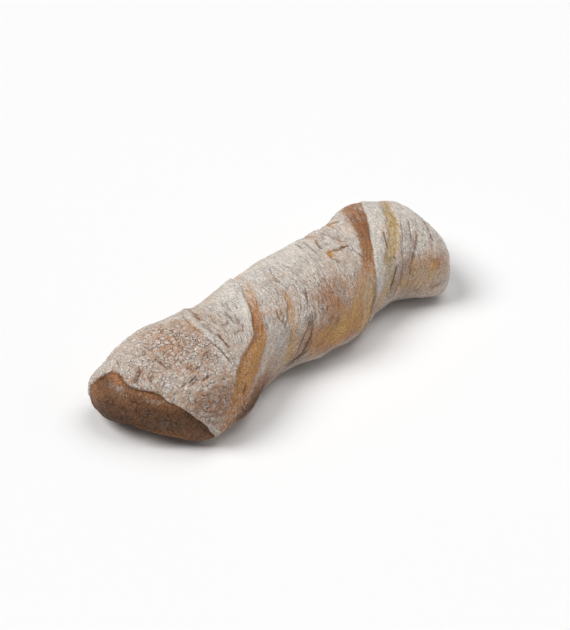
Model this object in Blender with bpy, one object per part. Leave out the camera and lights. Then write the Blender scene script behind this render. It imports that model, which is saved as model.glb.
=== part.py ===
"""A mini baguette: a short rustic loaf, twisted twice as dough, floured and baked whole.

X runs along the loaf from its cut end (-X) to its round end (+X), Y runs across it and Z is up.
The origin is under the middle of its bounding box, on the surface that it lies on.
Sizes here are in millimetres and angles in degrees until the mesh is made, in metres.

A place on the crust is given by two numbers: its place along the loaf, and its turn round it.
A turn of 0 is the front side (-Y), 90 the top, 180 the back and 270 the underside, and a fold
that winds on round the loaf goes on counting past 360.
"""

import bmesh
import bpy
import numpy as np

MM = 0.001

# The body's driving sizes.
CUT_END = -108.0
ROUND_END = 109.5
CUT_ROUNDING = 11.5  # how far from the end the cut face starts to round over
ROUND_ROUNDING = 18.0
CUT_POWER = 2.0  # 2 rounds an end like an ellipse, and more makes it blunter
ROUND_POWER = 2.3
TOP_POWER = 2.4  # the same for the section, above and below its widest line
UNDER_POWER = 3.2
WIDEST_AT = 0.45  # the widest line's height, as a share of the loaf's height
CUT_FACE_BOW = 0.0078  # per mm: the cut face bends back at its sides
CUT_FACE_BOW_LENGTH = 30.0
FLAT_UNDER = 3.0  # the underside settles flat up to this height

# Place along the loaf, middle line's place across it, half width, height of the top, height
# of the underside, and slant of the section, which is how far it runs back along the loaf for
# each millimetre across it.
BODY = (
    (-107, -2.5, 32.0, 28.5, 4.5, 0.48),
    (-88, -0.5, 35.5, 37.5, 0.0, 0.25),
    (-65, 2.0, 35.5, 41.5, 0.0, 0.22),
    (-38, 3.0, 29.0, 40.5, 0.0, 0.08),
    (-18, 3.5, 27.5, 42.0, 0.0, 0.0),
    (6, 2.5, 32.0, 44.0, 0.0, 0.0),
    (30, 1.5, 31.5, 44.0, 0.0, -0.04),
    (52, 4.0, 28.0, 42.0, 0.0, -0.10),
    (72, 4.5, 30.5, 44.5, 0.0, -0.18),
    (90, -1.5, 34.0, 39.5, 0.0, -0.16),
    (109, -0.5, 31.5, 37.0, 2.0, -0.22),
)

# Folds of the twisted dough: turn, place along the loaf, and strength from 0 to 1 at each knot.
CUT_LIP = (
    (185, -101, 0.0),
    (165, -101, 0.6),
    (138, -100, 0.9),
    (110, -98, 1.0),
    (80, -100, 1.0),
    (50, -102, 1.0),
    (12, -102, 1.0),
    (-5, -100, 0.8),
    (-21, -96, 0.3),
)
FLAP_EDGE = (
    (-22, -98, 0.2),
    (-10, -95, 0.4),
    (-4, -87, 0.6),
    (5, -78, 0.7),
    (30, -70, 0.9),
    (39, -61, 1.0),
    (46, -48, 1.0),
    (51, -39, 1.0),
    (72, -30, 1.0),
    (92, -22, 1.0),
    (113, -17, 0.9),
    (144, -11, 0.8),
    (180, -2, 0.7),
    (225, 8, 0.5),
    (280, 18, 0.0),
)
FLAP_WELT = (
    (36, -67, 0.0),
    (55, -64, 0.7),
    (79, -59, 1.0),
    (95, -55, 1.0),
    (112, -50, 1.0),
    (130, -45, 0.9),
    (180, -34, 0.6),
    (230, -25, 0.0),
)
MIDDLE_EDGE = (
    (300, -33, 0.0),
    (345, -26, 0.5),
    (375, -21, 0.9),
    (398, -15, 1.0),
    (426, -9, 0.8),
    (448, -4, 0.6),
    (469, -1, 0.5),
    (540, 14, 0.5),
    (600, 30, 0.0),
)
SIDE_CREASE = (
    (32, -1, 0.0),
    (22, -4, 0.6),
    (6, -9, 1.0),
    (-3, -15, 1.0),
    (-13, -18, 1.0),
    (-24, -22, 0.8),
    (-38, -28, 0.0),
)
STRIP_EDGE = (
    (290, 24, 0.0),
    (330, 35, 0.7),
    (360, 43, 1.0),
    (385, 50, 1.0),
    (418, 57, 1.0),
    (439, 64, 1.0),
    (457, 71, 1.0),
    (475, 76, 0.9),
    (510, 85, 0.6),
    (550, 95, 0.0),
)
PALE_BAND_NEAR = (
    (335, 42, 0.0),
    (360, 52, 0.6),
    (373, 60, 0.7),
    (406, 65, 0.9),
    (432, 70, 1.0),
    (454, 80, 0.9),
    (476, 89, 0.6),
    (500, 96, 0.0),
)
PALE_BAND_FAR = (
    (330, 44, 0.0),
    (351, 53, 0.5),
    (358, 61, 0.7),
    (385, 66, 1.0),
    (407, 73, 1.0),
    (434, 80, 1.0),
    (454, 87, 0.8),
    (478, 93, 0.4),
    (500, 99, 0.0),
)
PINCH_SLIT = (
    (96, 30, 0.0),
    (91, 33, 1.0),
    (86, 42, 1.0),
    (83, 49, 0.0),
)
PINCH_WRINKLE = (
    (132, 32, 0.0),
    (117, 31, 0.9),
    (97, 29, 0.9),
    (80, 30, 0.0),
)
PINCH_FOLD = (
    (160, 56, 0.0),
    (140, 55, 0.9),
    (118, 53, 0.9),
    (98, 53, 0.0),
)
ROUND_END_CREASE = (
    (98, 100, 0.0),
    (79, 98, 0.9),
    (61, 94, 0.8),
    (42, 89, 0.0),
)

# Each step in the crust: its knots, which side stands proud (-1 is the side nearer the cut
# end), the proud lip and the length it slopes away over, then the dip and its length.
STEPS = (
    (CUT_LIP, 1, 1.2, 7.0, 1.2, 5.0),
    (FLAP_EDGE, -1, 1.4, 9.0, 1.3, 6.0),
    (MIDDLE_EDGE, -1, 0.7, 8.0, 0.9, 5.0),
    (STRIP_EDGE, 1, 0.9, 6.0, 1.3, 7.0),
    (PALE_BAND_NEAR, -1, 0.5, 5.0, 0.9, 4.0),
    (PALE_BAND_FAR, 1, 0.8, 8.0, 0.9, 4.0),
)
# Each crease or welt: its knots, its height (a crease's is below 0) and its half width.
LINES = (
    (FLAP_WELT, 1.3, 2.6),
    (SIDE_CREASE, -3.2, 3.2),
    (PINCH_SLIT, -1.8, 2.6),
    (PINCH_WRINKLE, -1.2, 2.4),
    (PINCH_FOLD, -1.4, 2.6),
    (ROUND_END_CREASE, -1.0, 2.2),
)
# Gentle unevenness of the risen dough: waves along the loaf, waves round it, phase and height.
LUMPS = (
    (2.6, 1, 40, 0.5),
    (4.3, -2, 110, 0.45),
    (7.2, 3, 200, 0.3),
    (11.5, -3, 320, 0.2),
)
STEP_SOFTNESS = 1.1  # how wide a step's drop is
MM_PER_DEGREE = 0.52  # along the crust, round the middle of the loaf
KNOT_SPACING = 1.5  # the folds are traced in steps of about this length

# The mesh: quads round the section on each of its four sides, and along the loaf. They are
# fine enough for the folds, and the smooth crust between the folds is then thinned out.
QUADS_A_SIDE = 26
QUADS_ALONG = 124
CAP_SHARE = 0.8  # each end's cap reaches out to this share of the full section
TRIANGLES_KEPT = 0.40


def smooth_through(knots, at):
    """Values of a smooth curve through the knots (place, value, value...), one row for each value."""
    knots = np.array(knots, float)
    places, values = knots[:, 0], knots[:, 1:]
    slopes = np.gradient(values, places, axis=0)
    at = np.clip(at, places[0], places[-1])
    i = np.clip(np.searchsorted(places, at, side="right") - 1, 0, len(places) - 2)
    gap = places[i + 1] - places[i]
    t = (at - places[i]) / gap
    start = 2 * t**3 - 3 * t**2 + 1
    leave = (t**3 - 2 * t**2 + t) * gap
    arrive = (t**3 - t**2) * gap
    return (
        start * values[i].T + leave * slopes[i].T
        + (1 - start) * values[i + 1].T + arrive * slopes[i + 1].T
    )


def rounded(share, power):
    """An end's size, from 0 at its tip to 1, a share of the rounding away from the tip."""
    left = 1 - np.clip(share, 0, 1)
    return (1 - left**power) ** (1 / power)


def fullness(along):
    """The section's size along the loaf: 1, but falling to 0 over the rounding of each end."""
    cut = rounded((along - CUT_END) / CUT_ROUNDING, CUT_POWER)
    tip = rounded((ROUND_END - along) / ROUND_ROUNDING, ROUND_POWER)
    return cut * tip


def place_of(full, at_cut_end):
    """The place along the loaf where an end's section has this share of its full size."""
    power = CUT_POWER if at_cut_end else ROUND_POWER
    share = 1 - (1 - full**power) ** (1 / power)
    if at_cut_end:
        return CUT_END + CUT_ROUNDING * share
    return ROUND_END - ROUND_ROUNDING * share


def body_point(along, turn, full):
    """The smooth body's point at a place along the loaf and a turn round it."""
    side, half_width, height, underside, slant = smooth_through(BODY, along)
    c, s = np.cos(np.radians(turn)), np.sin(np.radians(turn))
    power = np.where(s > 0, TOP_POWER, UNDER_POWER)
    across = -half_width * full * np.sign(c) * np.abs(c) ** (2 / power)
    middle = WIDEST_AT * height
    reach = np.where(s > 0, height - middle, middle - underside) * full
    z = middle + reach * np.sign(s) * np.abs(s) ** (2 / power)
    bow = CUT_FACE_BOW * np.clip(1 - (along - CUT_END) / CUT_FACE_BOW_LENGTH, 0, 1) ** 2
    return along - slant * across + bow * across**2, side + across, z


def skin_length(along):
    """The distance along the crust from the cut face's middle to a place along the loaf."""
    places = np.linspace(CUT_END, ROUND_END, 4001)
    half_width = np.mean([row[2] for row in BODY])
    outward = half_width * np.diff(fullness(places))
    lengths = np.append(0, np.cumsum(np.hypot(np.diff(places), outward)))
    return np.interp(along, places, lengths)


def trace(knots):
    """A fold's knots as closely spaced rows: length along the crust, length round it, strength."""
    knots = np.array(knots, float)
    rows = np.stack([skin_length(knots[:, 1]), knots[:, 0] * MM_PER_DEGREE, knots[:, 2]], 1)
    steps = np.hypot(*np.diff(rows[:, :2], axis=0).T)
    lengths = np.append(0, np.cumsum(steps))
    at = np.linspace(0, lengths[-1], 2 + int(lengths[-1] / KNOT_SPACING))
    return smooth_through(np.column_stack([lengths, rows]), at).T


def distance_to(knots, skin, turn):
    """Each point's distance to a fold, positive on the round end's side, and the strength there."""
    rows = trace(knots)
    middle = (rows[1:, :2] + rows[:-1, :2]) / 2
    onward = np.diff(rows[:, :2], axis=0)
    onward /= np.linalg.norm(onward, axis=1)[:, None]
    if rows[-1, 1] < rows[0, 1]:  # a fold traced downwards has its sides the other way round
        onward = -onward
    best = np.full(len(skin), np.inf)
    signed = np.zeros(len(skin))
    strength = np.zeros(len(skin))
    for whole_turns in range(-1, 3):
        around = (turn + 360 * whole_turns) * MM_PER_DEGREE
        apart = np.stack([skin, around], 1)[:, None, :] - middle[None, :, :]
        nearest = np.argmin(np.hypot(apart[..., 0], apart[..., 1]), axis=1)
        to_it = apart[np.arange(len(skin)), nearest]
        length = np.hypot(to_it[:, 0], to_it[:, 1])
        way = onward[nearest]
        side = np.sign(to_it[:, 0] * way[:, 1] - to_it[:, 1] * way[:, 0])
        closer = length < best
        best = np.where(closer, length, best)
        signed = np.where(closer, side * length, signed)
        strength = np.where(closer, np.clip(rows[nearest, 2], 0, 1), strength)
    return signed, strength


def relief(along, turn):
    """How far the crust stands out from the smooth body at each point."""
    skin = skin_length(along)
    height = np.zeros(len(skin))
    for waves_along, waves_round, phase, rise in LUMPS:
        angle = 360 * waves_along * along / (ROUND_END - CUT_END) + waves_round * turn + phase
        height += rise * fullness(along) * np.sin(np.radians(angle))
    for knots, proud_side, lip, lip_length, dip, dip_length in STEPS:
        distance, strength = distance_to(knots, skin, turn)
        distance = distance * proud_side
        proud = lip * np.exp(-np.abs(distance) / lip_length)
        hollow = -dip * np.exp(-((distance / dip_length) ** 2))
        share = 0.5 + 0.5 * np.tanh(distance / STEP_SOFTNESS)
        height += strength * (share * proud + (1 - share) * hollow)
    for knots, rise, half_width in LINES:
        distance, strength = distance_to(knots, skin, turn)
        height += strength * rise * np.exp(-((distance / half_width) ** 2))
    return height


def settle(z):
    """Heights with the lowest of them pressed flat onto the surface that the loaf lies on."""
    share = np.clip(z / FLAT_UNDER, 0, 1)
    return np.where(share < 1, FLAT_UNDER * share**2 * (2 - share), z)


def even_turns(count):
    """Turns round the loaf, evenly spaced along a section's outline instead of in angle."""
    fine = np.linspace(0, 360, 2881)
    middle_of_loaf = np.zeros(len(fine))
    _, y, z = body_point(middle_of_loaf, fine, np.ones(len(fine)))
    lengths = np.append(0, np.cumsum(np.hypot(np.diff(y), np.diff(z))))
    return np.interp(np.linspace(0, lengths[-1], count + 1), lengths, fine)


def even_places(count):
    """Places along the loaf between the two caps, evenly spaced along the crust."""
    fine = np.linspace(place_of(CAP_SHARE, True), place_of(CAP_SHARE, False), 4001)
    lengths = skin_length(fine)
    return np.interp(np.linspace(lengths[0], lengths[-1], count + 1), lengths, fine)


def grid_cube():
    """A cube from -1 to 1 with its faces cut into the loaf's grid."""
    mesh = bmesh.new()
    bmesh.ops.create_cube(mesh, size=2)
    for axis, cuts in ((0, QUADS_ALONG - 1), (1, QUADS_A_SIDE - 1), (2, QUADS_A_SIDE - 1)):
        normal = [float(i == axis) for i in range(3)]
        for cut in range(1, cuts + 1):
            centre = [n * (2 * cut / (cuts + 1) - 1) for n in normal]
            geometry = mesh.verts[:] + mesh.edges[:] + mesh.faces[:]
            bmesh.ops.bisect_plane(mesh, geom=geometry, plane_co=centre, plane_no=normal, dist=1e-6)
    return mesh


def loaf_places(grid):
    """The place along the loaf, turn round it and fullness of each point of the grid cube."""
    x, y, z = grid.T
    out = np.maximum(np.maximum(np.abs(y), np.abs(z)), 1e-9)
    front, up = -y / out, z / out
    quarter = np.where(
        np.abs(front) >= np.abs(up),
        np.where(front > 0, up, 4 - up) % 8,
        np.where(up > 0, 2 - front, 6 + front),
    )
    turns = even_turns(4 * QUADS_A_SIDE)
    turn = np.interp(quarter / 8 * 4 * QUADS_A_SIDE, np.arange(len(turns)), turns)
    places = even_places(QUADS_ALONG)
    along = np.interp((x + 1) / 2 * QUADS_ALONG, np.arange(len(places)), places)
    full = fullness(along)
    inside = out < 1 - 1e-6
    for at_cut_end in (True, False):
        cap = inside & ((x < 0) == at_cut_end)
        full = np.where(cap, CAP_SHARE * out, full)
        along = np.where(cap, place_of(CAP_SHARE * out, at_cut_end), along)
    return along, turn, full


def crust_material():
    """Baked crust under flour."""
    material = bpy.data.materials.new("floured_crust")
    material.use_nodes = True
    shader = material.node_tree.nodes["Principled BSDF"]
    shader.inputs["Base Color"].default_value = (0.40, 0.29, 0.20, 1)
    shader.inputs["Roughness"].default_value = 0.9
    shader.inputs["Metallic"].default_value = 0
    return material


def make_loaf(collection):
    """The loaf: the grid cube drawn out to the smooth body, then folded and settled."""
    cube = grid_cube()
    cube.verts.ensure_lookup_table()
    grid = np.array([v.co for v in cube.verts])
    along, turn, full = loaf_places(grid)
    x, y, z = body_point(along, turn, full)
    for vert, place in zip(cube.verts, np.stack([x, y, z], 1), strict=True):
        vert.co = place
    cube.normal_update()
    normals = np.array([v.normal for v in cube.verts])
    points = np.stack([x, y, z], 1) + normals * relief(along, turn)[:, None]
    points[:, 2] = settle(points[:, 2])
    low, high = points.min(0), points.max(0)
    points -= ((low[0] + high[0]) / 2, (low[1] + high[1]) / 2, low[2])
    for vert, place in zip(cube.verts, points, strict=True):
        vert.co = place * MM
    bmesh.ops.triangulate(cube, faces=cube.faces[:])
    bmesh.ops.recalc_face_normals(cube, faces=cube.faces[:])
    mesh = bpy.data.meshes.new("loaf")
    cube.to_mesh(mesh)
    cube.free()
    mesh.materials.append(crust_material())
    mesh.shade_smooth()
    loaf = bpy.data.objects.new("loaf", mesh)
    collection.objects.link(loaf)
    thinning = loaf.modifiers.new("thinning", "DECIMATE")
    thinning.ratio = TRIANGLES_KEPT
    return loaf


def main():
    for thing in list(bpy.data.objects):
        bpy.data.objects.remove(thing)
    collection = bpy.data.collections.new("mini_baguette")
    bpy.context.scene.collection.children.link(collection)
    make_loaf(collection)


if __name__ == "__main__":
    main()
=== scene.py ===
"""The looks of the mini baguette: its floured, twisted crust, the floor, the light and the camera.

Sizes are in millimetres and angles in degrees until the crust's mesh is finished, in metres.
A place on the crust is given by its place along the loaf, from the cut end (-X) to the round end
(+X), and its turn round it: 0 is the front side (-Y), 90 the top, 180 the back and 270 the
underside. A fold that winds on round the loaf goes on counting past 360.
"""

import math

import bmesh
import bpy
import numpy as np
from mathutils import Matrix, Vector, noise


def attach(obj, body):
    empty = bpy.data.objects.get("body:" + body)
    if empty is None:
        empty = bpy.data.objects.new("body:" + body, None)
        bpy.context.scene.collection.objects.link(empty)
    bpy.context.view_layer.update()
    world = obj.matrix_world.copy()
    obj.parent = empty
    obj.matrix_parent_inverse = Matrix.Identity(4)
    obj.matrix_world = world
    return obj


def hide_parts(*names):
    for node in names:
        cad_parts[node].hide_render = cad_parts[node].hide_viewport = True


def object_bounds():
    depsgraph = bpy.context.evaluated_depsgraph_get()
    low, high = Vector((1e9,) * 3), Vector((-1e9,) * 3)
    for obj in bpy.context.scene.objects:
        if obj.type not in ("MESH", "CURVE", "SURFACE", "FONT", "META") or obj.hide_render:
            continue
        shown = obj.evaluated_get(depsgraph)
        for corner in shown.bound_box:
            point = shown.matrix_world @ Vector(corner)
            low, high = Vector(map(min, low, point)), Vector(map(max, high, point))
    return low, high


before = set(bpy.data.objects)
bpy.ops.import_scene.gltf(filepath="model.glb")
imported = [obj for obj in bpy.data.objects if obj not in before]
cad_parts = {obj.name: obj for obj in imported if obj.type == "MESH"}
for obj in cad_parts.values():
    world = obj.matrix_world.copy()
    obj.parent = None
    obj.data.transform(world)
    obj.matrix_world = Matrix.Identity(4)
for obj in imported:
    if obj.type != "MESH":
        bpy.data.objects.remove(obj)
CAD_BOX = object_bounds()

MM = 0.001

# ---- the loaf's driving sizes
CUT_END = -108.0
ROUND_END = 109.5
CUT_ROUNDING = 11.5  # how far from the end the cut face starts to round over
ROUND_ROUNDING = 18.0
CUT_POWER = 2.0  # 2 rounds an end like an ellipse, and more makes it blunter
ROUND_POWER = 2.3
TOP_POWER = 2.4  # the same for the section, above and below its widest line
UNDER_POWER = 3.2
WIDEST_AT = 0.45  # the widest line's height, as a share of the loaf's height
CUT_FACE_BOW = 0.0078  # per mm: the cut face bends back at its sides
CUT_FACE_BOW_LENGTH = 30.0
FLAT_UNDER = 3.0  # the underside settles flat up to this height
MM_PER_DEGREE = 0.52  # along the crust, round the middle of the loaf

# Place along the loaf, middle line's place across it, half width, height of the top, height
# of the underside, and slant of the section. A least-squares fit to the outline in the photo,
# as the camera below would see it, gave most of these numbers, which were then rounded.
BODY = (
    (-107, -2.5, 32.0, 28.5, 4.5, 0.48),
    (-88, -0.5, 35.5, 37.5, 0.0, 0.25),
    (-65, 2.0, 35.5, 41.5, 0.0, 0.22),
    (-38, 3.0, 29.0, 40.5, 0.0, 0.08),
    (-18, 3.5, 27.5, 42.0, 0.0, 0.0),
    (6, 2.5, 32.0, 44.0, 0.0, 0.0),
    (30, 1.5, 31.5, 44.0, 0.0, -0.04),
    (52, 4.0, 28.0, 42.0, 0.0, -0.10),
    (72, 4.5, 30.5, 44.5, 0.0, -0.18),
    (90, -1.5, 34.0, 39.5, 0.0, -0.16),
    (109, -0.5, 31.5, 37.0, 2.0, -0.22),
)
# Gentle unevenness of the risen dough: waves along the loaf, waves round it, phase and height.
LUMPS = ((2.6, 1, 40, 0.5), (4.3, -2, 110, 0.45), (7.2, 3, 200, 0.3), (11.5, -3, 320, 0.2))

# ---- folds: turn, place, strength
# On the seen side most places were read off the photo through the camera below. Round the unseen sides
# they are guessed.
CUT_LIP = (
    (-60, -92, 0.0), (-21, -96, 0.3), (-5, -100, 0.8), (12, -102, 1.0), (50, -102.5, 1.0),
    (68, -102, 1.0), (80, -100.5, 1.0), (95, -101, 0.9), (103, -100, 0.7), (109, -98, 0.6),
    (118, -97, 0.6), (136, -100, 0.6), (165, -101, 0.4), (200, -101, 0.0),
)
FLAP_EDGE = (
    (-22, -98, 0.2), (-10, -93, 0.4), (0, -86, 0.6), (13, -80, 0.7), (24, -74, 0.9),
    (37, -66, 1.0), (43, -58, 1.0), (47, -49, 1.0), (51, -41, 1.0), (60, -36, 1.0),
    (72, -31, 1.0), (90, -24, 1.0), (104, -19, 0.9), (122, -16, 0.8), (144, -11, 0.8),
    (180, -2, 0.7), (225, 8, 0.5), (280, 18, 0.0),
)
FLAP_BAND_END = (
    (-22, -92, 0), (-10, -80, 0), (0, -71, 0), (8, -62, 0), (16, -53, 0), (24, -45, 0),
    (30, -38, 0), (40, -32, 0), (50, -29, 0), (62, -26, 0), (75, -23, 0), (88, -18, 0),
    (100, -14, 0), (122, -11, 0), (144, -6, 0), (180, 4, 0), (225, 14, 0), (280, 20, 0),
)
FLAP_WELT = (
    (36, -67, 0.0), (55, -64, 0.7), (79, -59, 1.0), (95, -55, 1.0), (112, -50, 1.0),
    (130, -45, 0.9), (180, -34, 0.6), (230, -25, 0.0),
)
MIDDLE_EDGE = (
    (300, -33, 0.0), (345, -25, 0.5), (365, -20, 0.8), (376, -18, 1.0), (400, -15, 1.0),
    (411, -13, 0.9), (420, -10, 0.7), (432, -8, 0.5), (450, -6, 0.35), (468, -1, 0.2),
    (540, 14, 0.1), (600, 30, 0.0),
)
MIDDLE_BAND_END = (
    (300, -33, 0), (345, -21, 0), (357, -16, 0), (368, -14, 0), (380, -12.5, 0), (392, -11, 0),
    (405, -9.5, 0), (418, -7.5, 0), (430, -6, 0), (440, -5, 0), (452, -4, 0), (469, 0, 0),
    (540, 18, 0), (600, 31, 0),
)
SIDE_CREASE = (
    (-40, -26, 0.0), (-31, -21.5, 0.8), (-24, -18.5, 1.0), (-15, -15.5, 1.0), (-7, -12.5, 1.0),
    (0, -9.5, 1.0), (6, -7.5, 0.9), (15, -5.5, 0.8), (27, -4, 0.6), (36, -3, 0.0),
)
RED_BAND_START = (
    (290, 20, 0), (330, 24, 0), (360, 31, 0), (393, 38, 0), (405, 41, 0), (415, 46, 0),
    (422, 49, 0), (431, 52, 0), (441, 55, 0), (450, 58, 0), (469, 62, 0), (485, 65, 0),
    (520, 78, 0), (550, 94, 0),
)
STRIP_EDGE = (
    (290, 24, 0.0), (330, 35, 0.7), (360, 43, 1.0), (379, 48, 1.0), (404, 53, 1.0),
    (419, 57, 1.0), (431, 60, 0.9), (443, 65, 0.7), (455, 70, 0.5), (468, 74, 0.35),
    (510, 85, 0.3), (550, 95, 0.0),
)
PALE_BAND_NEAR = (
    (335, 42, 0.0), (360, 54, 0.6), (373, 59, 0.7), (388, 60, 0.8), (402, 61, 0.9),
    (410, 65, 0.9), (420, 69, 1.0), (431, 72, 1.0), (445, 77, 1.0), (457, 81, 0.9),
    (476, 88, 0.5), (500, 96, 0.0),
)
PALE_BAND_FAR = (
    (330, 44, 0.0), (351, 55, 0.5), (360, 61, 0.7), (370, 63.5, 0.8), (383, 65.5, 1.0),
    (393, 67, 1.0), (400, 70, 1.0), (410, 73.5, 1.0), (430, 78.5, 1.0), (446, 84, 1.0),
    (460, 89, 0.8), (480, 95, 0.4), (500, 100, 0.0),
)
ROUND_END_CREASE = ((42, 89, 0.0), (61, 94, 0.8), (79, 99, 0.9), (98, 103, 0.0))

# Each step: its knots, which side stands proud (-1 is the side nearer the cut end), the proud
# lip and the length it slopes away over, then the dip, its length and the drop's own width.
STEPS = (
    (CUT_LIP, 1, 1.2, 7.0, 1.2, 5.0, 0.5),
    (FLAP_EDGE, -1, 0.9, 9.0, 0.9, 6.0, 0.35),
    (MIDDLE_EDGE, -1, 0.5, 8.0, 0.7, 5.0, 0.45),
    (STRIP_EDGE, 1, 0.7, 6.0, 1.0, 7.0, 0.4),
    (PALE_BAND_NEAR, -1, 0.4, 5.0, 0.7, 4.0, 0.5),
    (PALE_BAND_FAR, 1, 0.6, 8.0, 0.7, 4.0, 0.45),
)
# Each crease or welt: its knots, its height (a crease's is below 0) and its half width.
LINES = (
    (FLAP_WELT, 0.9, 1.6),
    (SIDE_CREASE, -2.0, 2.0),
    (ROUND_END_CREASE, -0.8, 1.4),
)
# Painted shade in the folds, dark lines where shade falls under the lips and in the creases: knots,
# offset towards the round end, half width and darkness.
FOLD_SHADE_LINES = (
    (CUT_LIP, -0.6, 0.5, 0.9),
    (FLAP_EDGE, 0.3, 0.4, 0.15),
    (MIDDLE_EDGE, 0.2, 0.4, 0.4),
    (SIDE_CREASE, 0.8, 0.7, 0.7),
    (STRIP_EDGE, -0.3, 0.45, 0.45),
)
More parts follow.
